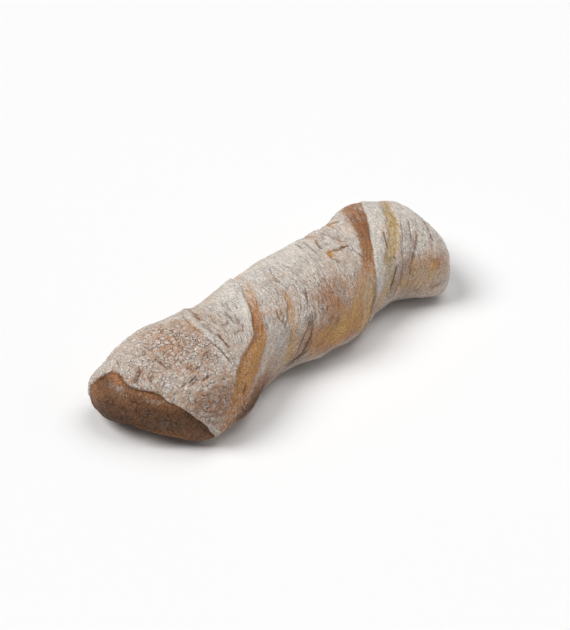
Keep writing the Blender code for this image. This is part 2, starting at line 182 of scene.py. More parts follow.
# Fine strokes, each half width, depth (below 0 it stands proud), darkness, how bare of flour it is, and
# its route as (place, turn). A stroke's darkness is partly the crust's own dark in a crack and partly
# painted shade in its groove.
STROKES = (
    # Beside the welt.
    (0.5, 0.3, 0.5, 0.5, ((-50, 96), (-53, 89), (-55, 82), (-56, 76))),
    (0.7, 0.5, 1.0, 0.5, ((-53, 80), (-55, 74), (-57, 67), (-59, 58))),
    (0.55, 0.4, 0.9, 0.4, ((-60, 84), (-62, 76), (-63, 68), (-65, 54), (-67, 40))),
    (0.5, 0.2, 0.4, 0.2, ((-61, 62), (-62, 53), (-62, 44))),
    (0.5, 0.3, 0.4, 0.6, ((-48, 126), (-52, 112), (-55, 102), (-58, 92), (-60, 84))),
    (0.8, 0.3, 0.25, 0.6, ((-42, 138), (-45, 120), (-48, 105), (-51, 94))),
    (0.9, -0.5, 0.0, -0.5, ((-68, 106), (-61, 116), (-54, 125), (-53, 116), (-56, 100))),
    # Short arcs on the second lobe.
    (0.5, 0.2, 0.5, 0.3, ((-32, 106), (-34, 100), (-36, 95))),
    (0.5, 0.3, 0.6, 0.3, ((-32, 100), (-34, 94), (-36, 88))),
    (0.5, 0.2, 0.5, 0.3, ((-30, 97), (-31, 91), (-33, 86))),
    (0.5, 0.2, 0.5, 0.3, ((-37, 92), (-39, 88), (-40, 84))),
    (0.5, 0.3, 0.7, 0.4, ((-46, 86), (-44, 83), (-41, 85))),
    (0.5, 0.2, 0.5, 0.3, ((-43, 99), (-45, 94), (-47, 88))),
    (0.5, 0.3, 0.7, 0.4, ((-38, 88), (-40, 82), (-42, 76))),
    (0.5, 0.3, 0.6, 0.3, ((-36, 86), (-38, 79), (-41, 73))),
    (0.5, 0.2, 0.5, 0.3, ((-37, 78), (-39, 75), (-40, 71))),
    (0.6, 0.3, 0.6, 0.4, ((-47, 68), (-44, 69), (-42, 67))),
    (0.5, 0.2, 0.5, 0.3, ((-38, 72), (-40, 68), (-43, 62))),
    # The crack in the lip, and the near lobe's short cracks.
    (0.8, 0.9, 0.9, 0.5, ((-92, 98), (-96, 96), (-100, 95))),
    (0.5, 0.3, 0.6, 0.2, ((-94, 90), (-96, 88), (-98, 87))),
    (0.5, 0.3, 0.5, 0.2, ((-91, 125), (-93, 120), (-95, 114))),
    (0.55, 0.4, 0.9, 0.4, ((-91, 63), (-88, 62), (-84, 61))),
    (0.55, 0.4, 0.9, 0.4, ((-91, 59), (-88, 59), (-85, 58))),
    (0.5, 0.3, 0.8, 0.3, ((-95, 66), (-93, 65), (-90, 64))),
    (0.6, 0.4, 0.9, 0.4, ((-86, 54), (-83, 53), (-80, 53))),
    (0.5, 0.3, 0.7, 0.3, ((-85, 72), (-83, 71), (-80, 71))),
    (0.5, 0.3, 0.7, 0.3, ((-85, 67), (-82, 66), (-79, 65))),
    (0.5, 0.3, 0.6, 0.3, ((-85, 93), (-87, 89), (-89, 84))),
    (0.45, 0.2, 0.6, 0.3, ((-72, 72), (-69, 71), (-66, 71))),
    (0.45, 0.2, 0.6, 0.3, ((-73, 68), (-70, 67), (-67, 67))),
    (0.45, 0.2, 0.6, 0.3, ((-92, 50), (-90, 48), (-88, 48))),
    # The small hole in the cut face.
    (0.5, 0.4, 1.0, 0.0, ((-105.2, 84), (-105, 90), (-104.8, 96))),
    # The dark slit under the flap.
    (0.9, 0.5, 0.9, 0.3, ((-71, 10), (-69, 13), (-66, 17))),
    # Beside the middle fold.
    (0.5, 0.3, 0.6, 0.3, ((3, 106), (0, 99), (-2, 92), (-4, 84))),
    (0.5, 0.2, 0.4, 0.7, ((-16, 64), (-18, 57), (-19, 49), (-18, 40), (-19, 30))),
    (0.4, 0.1, 0.4, 0.5, ((-15, 60), (-16, 52), (-16, 44))),
    (0.5, 0.3, 0.5, 0.4, ((4, 68), (1, 58), (-2, 47), (-4, 38))),
    # The side crease's other line.
    (0.6, 0.7, 0.6, 0.5, ((-3, 36), (-6, 22), (-10, 13), (-13, -1), (-17, -12), (-21, -26))),
    # The pinch: its slit, the lip under it, the folds over it and the wrinkles beside it.
    (0.6, 0.9, 0.5, 1.3, ((32, 88), (35, 88), (39, 86), (43, 85), (47, 84))),
    (1.1, 0.4, 0.0, 1.2, ((31, 87), (33, 86), (36, 86))),
    (0.5, 0.5, 0.6, 0.5, ((41, 118), (44, 110), (46, 102), (48, 93), (50, 86))),
    (0.6, 0.5, 1.0, 0.6, ((43, 87), (46, 85), (49, 83))),
    (1.4, -0.7, 0.0, -0.3, ((33, 86), (38, 88), (43, 85), (47, 74), (48, 62))),
    (0.5, 0.3, 0.9, 0.3, ((45, 83), (47, 76), (49, 68), (50, 58))),
    (1.5, 0.9, 0.0, 0.4, ((50, 130), (49, 110), (49, 97), (48, 88))),
    (1.3, -0.6, 0.0, -0.3, ((53, 134), (52, 122), (52, 108), (51, 96))),
    (0.9, 0.7, 0.2, 1.0, ((58, 152), (55, 132), (53, 117), (52, 104))),
    (0.7, 0.3, 0.8, 0.6, ((56, 130), (57, 121), (59, 112))),
    (0.7, 0.5, 0.35, 0.3, ((46, 124), (45, 112), (44, 101))),
    (1.3, 1.1, 0.0, 0.5, ((42, 164), (41, 146), (40, 130), (39, 116))),
    (1.4, 1.0, 0.0, 0.4, ((53, 166), (52, 148), (51, 136), (50, 124))),
    (0.6, 0.4, 0.35, 0.3, ((42, 110), (41, 105), (41, 100))),
    (0.6, 0.4, 0.4, 0.3, ((38, 99), (39, 95), (41, 93))),
    (0.5, 0.3, 0.3, 0.3, ((46, 101), (45, 97), (45, 92))),
    (0.8, 0.6, 0.5, 0.7, ((38, 112), (35, 102), (33, 92))),
    (0.6, 0.5, 0.7, 0.4, ((33, 124), (31, 112), (29, 99), (27, 88))),
    (0.6, 0.4, 0.5, 0.3, ((29, 126), (27, 114), (25, 102))),
    (0.6, 0.2, 0.4, 0.9, ((34, 88), (31, 82), (32, 77), (31, 70))),
    # The pale band's dark edges and spots.
    (0.7, 0.4, 0.9, 0.3, ((69, 70), (67, 60), (65, 47))),
    (0.7, 0.4, 0.7, 0.3, ((67, 37), (67, 32), (67, 28))),
    (0.6, 0.5, 0.75, 0.2, ((67, 27), (65, 16), (63, 6), (60, -3))),
    (0.9, 0.2, 0.5, 0.3, ((75, 74), (76, 76), (77, 78))),
    (0.7, 0.2, 0.5, 0.3, ((78, 82), (79, 80), (80, 77))),
    # Thin lines down the far lobe.
    (0.5, 0.3, 0.4, 0.3, ((87, 92), (81, 73), (76, 54), (73, 42), (71, 26))),
    (0.5, 0.3, 0.45, 0.5, ((90, 86), (86, 76), (82, 62), (79, 46))),
    (0.5, 0.3, 0.5, 0.5, ((79, 42), (77, 30), (75, 18), (74, 2))),
    (0.5, 0.3, 0.5, 0.4, ((72, 28), (70, 18), (69, 8), (68, -4))),
    (0.6, 0.3, 0.5, 0.7, ((87, 70), (84, 58), (81, 46), (79, 38))),
    (0.8, 0.4, 0.3, 0.9, ((105, 90), (100, 78), (97, 69), (95, 63))),
    (0.6, 0.4, 0.9, 0.4, ((96, 66), (94, 59), (92, 50))),
    (0.5, 0.3, 0.5, 0.3, ((103, 60), (99, 50), (96, 36))),
    (0.6, 0.4, 0.4, 0.4, ((83, -6), (86, -4), (90, -2))),
)
# Soft swellings: place, turn, half length, half turn, lean and height.
BULGES = (
    (43, 106, 5.5, 17, 0.0, 1.1),
    (-88, 55, 12, 18, 0.0, 0.6),
    (-96, 104, 4, 8, 0.0, -0.4),
    (-102, 312, 7, 20, 0.0, 1.8),
    (-104, 262, 6, 16, 0.0, -2.2),
)

# ---- the crust's mesh
CAGE_A_SIDE = 17  # the cage's squares on each of the section's four sides
CAGE_ALONG = 79
CAP_SHARE = 0.8  # each end's cap reaches out to this share of the full section
CAGE_FINER = 2  # levels of subdivision from the cage to the crust
STEPS_ALONG = 4000  # the body's length is read in this many steps
STEPS_ROUND = 2880  # and its section's outline in this many
GRID_STEPS = 256  # the even places and turns are kept in this many steps
FAR_OUTSIDE = -99  # a distance for points that a fold doesn't reach


def smooth_through(knots, at):
    """Values of a smooth curve through the knots (place, value, value...), one row for each value."""
    knots = np.array(knots, float)
    places, values = knots[:, 0], knots[:, 1:]
    slopes = np.gradient(values, places, axis=0)
    at = np.clip(at, places[0], places[-1])
    i = np.clip(np.searchsorted(places, at, side="right") - 1, 0, len(places) - 2)
    gap = places[i + 1] - places[i]
    t = (at - places[i]) / gap
    start = 2 * t**3 - 3 * t**2 + 1
    leave = (t**3 - 2 * t**2 + t) * gap
    arrive = (t**3 - t**2) * gap
    return (
        start * values[i].T + leave * slopes[i].T
        + (1 - start) * values[i + 1].T + arrive * slopes[i + 1].T
    )


def soft_step(value, low, high):
    """0 below low, 1 above high and smooth between them."""
    share = np.clip((value - low) / (high - low), 0, 1)
    return share * share * (3 - 2 * share)


def rounded(share, power):
    """An end's size, from 0 at its tip to 1, a share of the rounding away from the tip."""
    left = 1 - np.clip(share, 0, 1)
    return (1 - left**power) ** (1 / power)


def fullness(along):
    """The section's size along the loaf: 1, but falling to 0 over the rounding of each end."""
    cut = rounded((along - CUT_END) / CUT_ROUNDING, CUT_POWER)
    tip = rounded((ROUND_END - along) / ROUND_ROUNDING, ROUND_POWER)
    return cut * tip


def place_of(full, at_cut_end):
    """The place along the loaf where an end's section has this share of its full size."""
    power = CUT_POWER if at_cut_end else ROUND_POWER
    share = 1 - (1 - full**power) ** (1 / power)
    if at_cut_end:
        return CUT_END + CUT_ROUNDING * share
    return ROUND_END - ROUND_ROUNDING * share


def body_point(along, turn, full):
    """The smooth body's point at a place along the loaf and a turn round it."""
    side, half_width, height, underside, slant = smooth_through(BODY, along)
    c, s = np.cos(np.radians(turn)), np.sin(np.radians(turn))
    power = np.where(s > 0, TOP_POWER, UNDER_POWER)
    across = -half_width * full * np.sign(c) * np.abs(c) ** (2 / power)
    middle = WIDEST_AT * height
    reach = np.where(s > 0, height - middle, middle - underside) * full
    z = middle + reach * np.sign(s) * np.abs(s) ** (2 / power)
    bow = CUT_FACE_BOW * np.clip(1 - (along - CUT_END) / CUT_FACE_BOW_LENGTH, 0, 1) ** 2
    return np.stack([along - slant * across + bow * across**2, side + across, z], 1)


def skin_length(along):
    """The distance along the crust from the cut face's middle to a place along the loaf."""
    places = np.linspace(CUT_END, ROUND_END, STEPS_ALONG + 1)
    half_width = np.mean([row[2] for row in BODY])
    outward = half_width * np.diff(fullness(places))
    lengths = np.append(0, np.cumsum(np.hypot(np.diff(places), outward)))
    return np.interp(along, places, lengths)


def beyond(knots, skin, turn, wobble=0.0):
    """Each point's distance past a fold, positive on the round end's side, and the strength there."""
    distance = np.full(len(skin), float(FAR_OUTSIDE))
    strength = np.zeros(len(skin))
    first, last = knots[0][0], knots[-1][0]
    for whole_turns in range(-1, 3):
        at = turn + 360 * whole_turns
        here = (at >= first) & (at <= last)
        if not here.any():
            continue
        place, force = smooth_through(knots, at[here])
        lean = (smooth_through(knots, at[here] + 0.5)[0] - smooth_through(knots, at[here] - 0.5)[0])
        across = 1 / np.hypot(1, lean / MM_PER_DEGREE)
        distance[here] = (skin[here] - skin_length(place)) * across
        strength[here] = np.clip(force, 0, 1)
    return distance + wobble, strength


def even_turns(count):
    """Turns round the loaf, evenly spaced along a section's outline instead of in angle."""
    fine = np.linspace(0, 360, STEPS_ROUND + 1)
    section = body_point(np.zeros(len(fine)), fine, np.ones(len(fine)))
    lengths = np.append(0, np.cumsum(np.hypot(*np.diff(section[:, 1:], axis=0).T)))
    return np.interp(np.linspace(0, lengths[-1], count + 1), lengths, fine)


def even_places(count):
    """Places along the loaf between the two caps, evenly spaced along the crust."""
    first, last = place_of(CAP_SHARE, True), place_of(CAP_SHARE, False)
    fine = np.linspace(first, last, STEPS_ALONG + 1)
    lengths = skin_length(fine)
    return np.interp(np.linspace(lengths[0], lengths[-1], count + 1), lengths, fine)


def loaf_places(grid):
    """The place along the loaf, turn round it and fullness of each point of the cube's grid."""
    x, y, z = grid.T
    out = np.maximum(np.maximum(np.abs(y), np.abs(z)), 1e-9)
    front, up = -y / out, z / out
    quarter = np.where(
        np.abs(front) >= np.abs(up),
        np.where(front > 0, up, 4 - up) % 8,
        np.where(up > 0, 2 - front, 6 + front),
    )
    turns = even_turns(GRID_STEPS)
    turn = np.interp(quarter / 8 * GRID_STEPS, np.arange(len(turns)), turns)
    places = even_places(GRID_STEPS)
    along = np.interp((x + 1) / 2 * GRID_STEPS, np.arange(len(places)), places)
    full = fullness(along)
    inside = out < 1 - 1e-5
    for at_cut_end in (True, False):
        cap = inside & ((x < 0) == at_cut_end) & (np.abs(x) > 1 - 1e-5)
        full = np.where(cap, CAP_SHARE * out, full)
        along = np.where(cap, place_of(CAP_SHARE * out, at_cut_end), along)
    return along, turn, full


def rows_of(items, name):
    """The vectors kept under this name in each of a mesh's items, as rows."""
    flat = np.empty(len(items) * 3)
    items.foreach_get(name, flat)
    return flat.reshape(-1, 3)


def move_points(mesh, points):
    mesh.vertices.foreach_set("co", np.asarray(points, float).ravel())
    mesh.update()


def keep_field(mesh, name, values):
    """Keeps one number or one vector for each point of the mesh, for the material to read."""
    kind = "FLOAT" if np.ndim(values) == 1 else "FLOAT_VECTOR"
    field = mesh.attributes.new(name, kind, "POINT")
    flat = np.asarray(values, float).ravel()
    field.data.foreach_set("value" if kind == "FLOAT" else "vector", flat)


def cut_edges_along(axis, cuts):
    """In edit mode, cuts every edge that runs along an axis into even pieces."""
    mesh = bmesh.from_edit_mesh(bpy.context.object.data)
    for edge in mesh.edges:
        run = edge.verts[1].co - edge.verts[0].co
        edge.select = abs(run[axis]) > 0.999 * run.length
    bmesh.update_edit_mesh(bpy.context.object.data)
    bpy.ops.mesh.subdivide(number_cuts=cuts)


def make_cage():
    """A cube whose faces are cut into the cage's squares, drawn out to the loaf's smooth body."""
    bpy.ops.object.select_all(action="DESELECT")
    bpy.ops.mesh.primitive_cube_add(size=2)
    crust = bpy.context.object
    crust.name = crust.data.name = "loaf_crust"
    bpy.ops.object.mode_set(mode="EDIT")
    bpy.ops.mesh.select_mode(type="EDGE")
    for axis, squares in ((0, CAGE_ALONG), (1, CAGE_A_SIDE), (2, CAGE_A_SIDE)):
        cut_edges_along(axis, squares - 1)
    bpy.ops.object.mode_set(mode="OBJECT")
    grid = rows_of(crust.data.vertices, "co")
    keep_field(crust.data, "cage", grid)
    move_points(crust.data, body_point(*loaf_places(grid)))
    return crust


def refine(crust):
    """Finishes the cage as a smooth surface, and gives each point's own place in the cage."""
    smooth = crust.modifiers.new("smooth", "SUBSURF")
    smooth.levels = smooth.render_levels = CAGE_FINER
    bpy.ops.object.select_all(action="DESELECT")
    crust.select_set(True)
    bpy.context.view_layer.objects.active = crust
    bpy.ops.object.modifier_apply(modifier=smooth.name)
    field = crust.data.attributes["cage"]
    cage = rows_of(field.data, "vector")
    crust.data.attributes.remove(field)
    return cage


# ---- unevenness
def lumps(points, size, octaves=3, seed=0):
    """Soft noise from about -1 to 1 at each point, with lumps of about this size."""
    shift = Vector((13.7 * seed, -7.3 * seed, 5.1 * seed))
    return np.array([noise.fractal(Vector(p) / size + shift, 1.0, 2.0, octaves) for p in points])


GRAINY_UP_TO = (-68, -50)  # the places along the loaf between which the grain gives way to streaks
GRAIN_AMONG_STREAKS = 0.2  # how grainy the rest still is
STREAKS_START = (4, 16)  # degrees to each side of the underside's middle


def grainy_share(along, turn):
    """How grainy the crust is: 1 by the cut end, where the flour lies thick and cracked.

    It is 1 along the middle of the underside too, where the streaks' winding starts and ends.
    """
    under = 1 - soft_step(np.abs(turn - 270), *STREAKS_START)
    streaky = soft_step(along, *GRAINY_UP_TO)
    return np.maximum(1 - (1 - GRAIN_AMONG_STREAKS) * streaky, under)


def pebbles(points, size):
    """Rounded pebbles of about this size, from 0 in the cracks between them to 1 on their tops."""
    gaps = np.array([noise.voronoi(Vector(p) / size)[0][:2] for p in points])
    return soft_step(gaps[:, 1] - gaps[:, 0], 0, 0.5)


# How the streaks in the dough wind round it: at each turn, how far a streak moves towards the
# round end for each degree, at each of the three places along the loaf.
STREAK_PLACES = (-45, 5, 75)
STREAK_LEANS = (
    (-90, 0.3, 0.3, 0.3), (-60, 0.5, 0.6, 0.5), (-25, 0.6, 0.7, 0.6), (0, 0.6, 0.35, 0.3),
    (25, 0.4, 0.18, 0.17), (50, 0.5, 0.14, 0.19), (75, 0.28, 0.13, 0.25), (95, 0.15, 0.04, 0.2),
    (115, -0.1, -0.12, 0.1), (140, 0.1, 0.1, 0.15), (180, 0.3, 0.3, 0.3), (270, 0.3, 0.3, 0.3),
)
STREAK_MIDDLE = 60  # the turn where a streak's place is its true place along the loaf
STREAK_RADIUS = 6.0  # smaller than the loaf's, which draws the streaks out round it
STREAK_WAVE = 1.0


def streak_places(along, turn, points):
    """A place in the unwound dough, where the streaks run straight and long, in millimetres."""
    fine = np.linspace(-90, 270, 721)
    turn = (turn + 90) % 360 - 90
    shifts = []
    for k in range(len(STREAK_PLACES)):
        leans = np.interp(fine, *np.array(STREAK_LEANS)[:, [0, k + 1]].T)
        path = np.append(0, np.cumsum((leans[1:] + leans[:-1]) / 2 * np.diff(fine)))
        shifts.append(np.interp(turn, fine, path) - np.interp(STREAK_MIDDLE, fine, path))
    low, middle, high = shifts
    near = np.clip((along - STREAK_PLACES[0]) / (STREAK_PLACES[1] - STREAK_PLACES[0]), 0, 1)
    far = np.clip((along - STREAK_PLACES[1]) / (STREAK_PLACES[2] - STREAK_PLACES[1]), 0, 1)
    shift = low + near * (middle - low) + far * (high - middle)
    across = along - shift + STREAK_WAVE * lumps(points, 11, 2, seed=5)
    angle = np.radians(turn)
    return np.stack([across, STREAK_RADIUS * np.cos(angle), STREAK_RADIUS * np.sin(angle)], 1)


def fold_relief(along, turn, wobble):
    """How far the folds stand out from the smooth body at each point."""
    skin = skin_length(along)
    height = np.zeros(len(skin))
    for waves_along, waves_round, phase, rise in LUMPS:
        angle = 360 * waves_along * along / (ROUND_END - CUT_END) + waves_round * turn + phase
        height += rise * fullness(along) * np.sin(np.radians(angle))
    for knots, proud_side, lip, lip_length, dip, dip_length, drop in STEPS:
        distance, strength = beyond(knots, skin, turn, wobble)
        distance = distance * proud_side
        proud = lip * np.exp(-np.abs(distance) / lip_length)
        hollow = -dip * np.exp(-((distance / dip_length) ** 2))
        share = 0.5 + 0.5 * np.tanh(distance / drop)
        height += strength * (share * proud + (1 - share) * hollow)
    for knots, rise, half_width in LINES:
        distance, strength = beyond(knots, skin, turn, wobble)
        height += strength * rise * np.exp(-((distance / half_width) ** 2))
    return height + blotches(BULGES, along, turn)


ROUTE_STEPS = 5  # straight pieces between two knots of a stroke
STROKE_REACH = 4.0  # half widths from a stroke's middle to where it ends for good
DARK_REACH = 2.5  # half widths from a dark line's middle to where its darkness ends
STROKE_FADE = 0.2  # the share of a stroke's length over which each of its ends fades
STROKE_WOBBLE = 0.6  # how much of the folds' wobble a stroke has
# How far the painted shade lines in the folds follow the folds' wobble.
FOLD_SHADE_LINE_WOBBLE = 0.8
NARROWEST_GROOVE = 0.9  # half width of the narrowest groove that the mesh can carry


def beside_route(route, skin, turn):
    """Which points lie near a stroke, their distance to its left, and how far along it they are."""
    knots = np.array([(i, skin_length(place), angle) for i, (place, angle) in enumerate(route)])
    steps = np.linspace(0, len(route) - 1, ROUTE_STEPS * (len(route) - 1) + 1)
    line = smooth_through(knots, steps).T * (1, MM_PER_DEGREE)
    flat = np.stack([skin, ((turn + 90) % 360 - 90) * MM_PER_DEGREE], 1)
    low, high = line.min(0) - STROKE_REACH, line.max(0) + STROKE_REACH
    near = np.flatnonzero(((flat > low) & (flat < high)).all(1))
    start, run = line[:-1], np.diff(line, axis=0)
    away = flat[near][:, None] - start
    share = np.clip((away * run).sum(-1) / (run**2).sum(-1), 0, 1)
    away = away - share[..., None] * run
    length = np.hypot(away[..., 0], away[..., 1])
    best = np.argmin(length, axis=1)
    rows = np.arange(len(near))
    left = np.sign(run[best, 0] * away[rows, best, 1] - run[best, 1] * away[rows, best, 0])
    return near, left * length[rows, best], (best + share[rows, best]) / len(run)


def draw_strokes(along, turn, wobble):
    """The strokes' relief, how bare they leave the crust, and the nearest dark line, which is partly a
    crack and partly painted shade in a crease or fold.

    The dark line is kept as its distance in half widths, below 0 on one side, and its darkness.
    """
    skin = skin_length(along)
    relief, bare = np.zeros(len(skin)), np.zeros(len(skin))
    aside, darkness = np.full(len(skin), STROKE_REACH), np.zeros(len(skin))
    # Painted shade along the folds.
    for knots, offset, half_width, dark in FOLD_SHADE_LINES:
        distance, strength = beyond(knots, skin, turn, FOLD_SHADE_LINE_WOBBLE * wobble)
        distance = (distance - offset) / half_width
        nearer = (np.abs(distance) < np.abs(aside)) & (strength > 0)
        aside[nearer], darkness[nearer] = distance[nearer], (dark * strength)[nearer]
    for half_width, depth, dark, bareness, route in STROKES:
        near, distance, share = beside_route(route, skin, turn)
        distance = distance + STROKE_WOBBLE * wobble[near]
        fade = soft_step(share, 0, STROKE_FADE) * soft_step(1 - share, 0, STROKE_FADE)
        groove = max(half_width, NARROWEST_GROOVE)
        relief[near] -= depth * fade * np.exp(-((distance / groove) ** 2))
        distance = distance / half_width
        bare[near] += bareness * fade * np.exp(-((distance / 1.5) ** 2))
        nearer = np.abs(distance) < np.abs(aside[near])
        if dark:
            aside[near[nearer]], darkness[near[nearer]] = distance[nearer], (dark * fade)[nearer]
    darkness = darkness * (1 - soft_step(np.abs(aside), DARK_REACH - 1, DARK_REACH))
    return relief, bare, aside, darkness


def settle(z):
    """Heights with the lowest of them pressed flat onto the surface that the loaf lies on."""
    share = np.clip(z / FLAT_UNDER, 0, 1)
    return np.where(share < 1, FLAT_UNDER * share**2 * (2 - share), z)


# ---- where the crust is bare or floured
def blotches(rows, along, turn):
    """The sum of soft blotches: place, turn, half length, half turn, lean and strength of each."""
    total = np.zeros(len(along))
    for place, middle, half_length, half_turn, lean, strength in rows:
        round_it = (turn - middle + 180) % 360 - 180
        across = (along - place - lean * round_it) / half_length
        total += strength * np.exp(-(across**2) - (round_it / half_turn) ** 2)
    return total


# Flour: 0 bare to 1 thick.
FLOUR = 0.785
FLOUR_BLOTCHES = (
    (-82, 76, 20, 40, 0.0, -0.18),
    (-92, 60, 7, 22, 0.0, 0.12),
    (-86, 22, 18, 24, 0.0, -0.48),
    (-96, 40, 6, 14, 0.0, -0.3),
    (-68, 106, 9, 14, 0.1, -0.14),
    (-58, 92, 3, 9, 0.3, -0.3),
    (-49, 126, 3, 6, 0.2, -0.3),
    (-43, 134, 2.5, 6, 0.0, -0.3),
    (-46, 104, 4, 9, 0.2, -0.16),
    (-57, 113, 2.5, 6, 0.0, -0.2),
    (-58, 82, 3, 30, 0.25, 0.5),
    (-28, 94, 3, 12, 0.2, 0.3),
    (-55, 112, 6, 9, 0.1, -0.12),
    (-25, 98, 8, 30, 0.28, 0.3),
    (-33, 98, 4, 18, 0.2, 0.25),
    (52, 43, 4, 22, 0.2, 0.4),
    # This blotch is partly the strip's flour and partly painted light, lightening the low pale strip.
    (52, 20, 4, 13, 0.2, 0.5),
    (0, 118, 26, 16, 0.0, 0.2),
    (-70, -24, 24, 14, 0.0, -0.3),
    (-50, 62, 8, 16, 0.2, -0.05),
    # This blotch is partly the bare crust there and partly painted shade on the near lobe's low front
    # side.
    (-58, -8, 24, 14, 0.0, -0.9),
    (-12, 100, 8, 25, 0.3, 0.1),
    (12, 112, 34, 28, 0.0, 0.3),
    (10, 50, 9, 14, 0.2, -0.3),
    (10, 30, 9, 12, 0.2, -0.35),
    (26, 50, 6, 12, 0.2, -0.1),
    (22, 4, 30, 20, 0.25, -0.7),
    (36, 34, 9, 18, 0.2, -0.4),
    (60, 60, 6, 90, 0.3, 0.2),
    (88, 96, 15, 24, 0.2, 0.4),
    (84, 22, 12, 16, 0.2, -0.2),
    (76, -4, 12, 12, 0.2, -0.15),
    (89, 24, 5, 12, 0.2, -0.25),
    (80, 10, 13, 18, 0.2, -0.18),
    (-97, 86, 6, 30, 0.0, -0.1),
    (4, 2, 9, 16, 0.25, -0.35),
    (18, 52, 8, 14, 0.2, -0.22),
    (84, 50, 6, 16, 0.2, 0.2),
    (102, 66, 7, 60, 0.0, 0.45),
    (39, 116, 2.5, 9, 0.0, -0.5),
)
# How far the crust is baked: 0 pale yellow, 0.3 golden, 0.5 orange brown, 0.75 red brown, 1 dark.
BAKE = 0.72
BAKE_BLOTCHES = (
    (-70, 108, 13, 18, 0.1, -0.16),
    (-58, 92, 4, 12, 0.3, -0.26),
    (-49, 126, 3, 7, 0.2, -0.2),
    (20, 6, 30, 20, 0.25, -0.36),
    (10, 30, 8, 10, 0.2, -0.12),
    (36, 34, 10, 18, 0.2, -0.3),
    (39, 116, 3, 10, 0.0, -0.4),
    (54, 120, 4, 24, 0.0, -0.3),
    (35, 88, 7, 6, 0.0, -0.36),
    (78, 2, 14, 16, 0.2, -0.42),
    (85, 22, 12, 16, 0.2, -0.2),
    (4, 2, 9, 16, 0.25, -0.15),
    (18, 52, 8, 14, 0.2, -0.12),
    # This blotch is partly the crust's own tone and partly painted shade on the near lobe's low front
    # side.
    (-60, -12, 16, 12, 0.0, 0.3),
)
# Where small dark pits break the flour, and where fine veins are strongest.
PITS = (
    (-86, 61, 6, 9, 0.0, 0.6),
    (-72, 69, 8, 8, 0.0, 0.3),
    (42, 103, 6, 10, 0.0, 0.5),
    (27, 62, 6, 7, 0.0, 0.5),
)
VEINS = (
    (-70, 90, 18, 26, 0.0, 0.9),
    (-45, 85, 12, 26, 0.15, 0.3),
    (-8, 85, 12, 30, 0.2, 0.6),
    (12, 60, 20, 34, 0.2, 0.6),
    (86, 60, 12, 60, 0.2, 0.5),
)

# Each bare band: its first and last fold, how ragged each edge is, and (turn, bake, flour) on it.
BANDS = (
    (FLAP_EDGE, FLAP_BAND_END, 0.1, 0.9, (
        (-22, 0.5, 0.4), (-4, 0.52, 0.3), (8, 0.48, 0.15), (18, 0.42, 0.08), (30, 0.42, 0.06),
        (45, 0.46, 0.15), (56, 0.53, 0.16), (66, 0.54, 0.06), (74, 0.5, 0.2), (84, 0.5, 0.42),
        (98, 0.46, 0.66), (112, 0.46, 0.75), (180, 0.5, 0.6), (280, 0.45, 0.6),
    )),
    (MIDDLE_EDGE, MIDDLE_BAND_END, 0.2, 0.8, (
        (300, 0.4, 0.5), (345, 0.3, 0.45), (372, 0.26, 0.38), (390, 0.32, 0.38), (404, 0.36, 0.42),
        (420, 0.4, 0.34), (432, 0.42, 0.45), (444, 0.5, 0.7), (600, 0.5, 0.75),
    )),
    (RED_BAND_START, STRIP_EDGE, 0.9, 0.1, (
        (290, 0.4, 0.5), (340, 0.3, 0.35), (362, 0.26, 0.25), (385, 0.34, 0.4), (402, 0.44, 0.34),
        (416, 0.6, 0.1), (432, 0.7, 0.05), (446, 0.78, 0.0), (470, 0.64, 0.25), (488, 0.64, 0.2),
        (520, 0.7, 0.3), (550, 0.7, 0.5),
    )),
    (PALE_BAND_NEAR, PALE_BAND_FAR, 0.6, 0.5, (
        (330, 0.15, 0.5), (360, 0.12, 0.5), (380, 0.04, 0.5), (415, 0.05, 0.22), (436, 0.08, 0.25),
        (450, 0.12, 0.3), (470, 0.2, 0.4), (488, 0.3, 0.5), (500, 0.4, 0.6),
    )),
)
DEEPEST_IN_BAND = 60  # a point that reads deeper than this lies off the band's folds
FACE_ENDS = -90.0  # the cut face lies nearer the cut end than this, and inside its lip
FACE_BAKE, FACE_FLOUR = 0.94, -0.2
# The cut face's flour patches and paler places: place across it, height, half width, half height,
# and what each adds to the flour and to the bake.
FACE_BLOTCHES = (
    (9, 27.6, 6.0, 2.6, 0.58, 0.0),
    (-10, 26.8, 5, 1.6, 0.52, 0.0),
    (24, 20, 6, 8, 0.05, -0.2),
    (0, 22, 8, 3.5, 0.16, 0.0),
    (-14, 16, 9, 4, 0.18, 0.0),
    (14, 13, 12, 5, 0.0, 0.08),
    (-20, 8, 12, 4, 0.0, -0.12),
    (12, 31, 8, 2.6, 0.0, -0.34),
    (-4, 29.5, 8, 2.2, 0.0, -0.34),
    (-18, 26, 8, 2.4, 0.0, -0.3),
    (6, 24, 12, 3, 0.0, -0.1),
    (0, 4, 30, 4.0, 0.5, 0.0),
)


def tones_round(knots, turn):
    """The bake and the flour on a band at each turn, which may count past 360."""
    knots = np.array(knots)
    first, last = knots[0, 0], knots[-1, 0]
    at = turn + 360 * np.ceil((first - turn) / 360)
    at = np.where(at > last, np.where(at - last < first + 360 - at, last, first), at)
    return [np.interp(at, knots[:, 0], knots[:, k]) for k in (1, 2)]


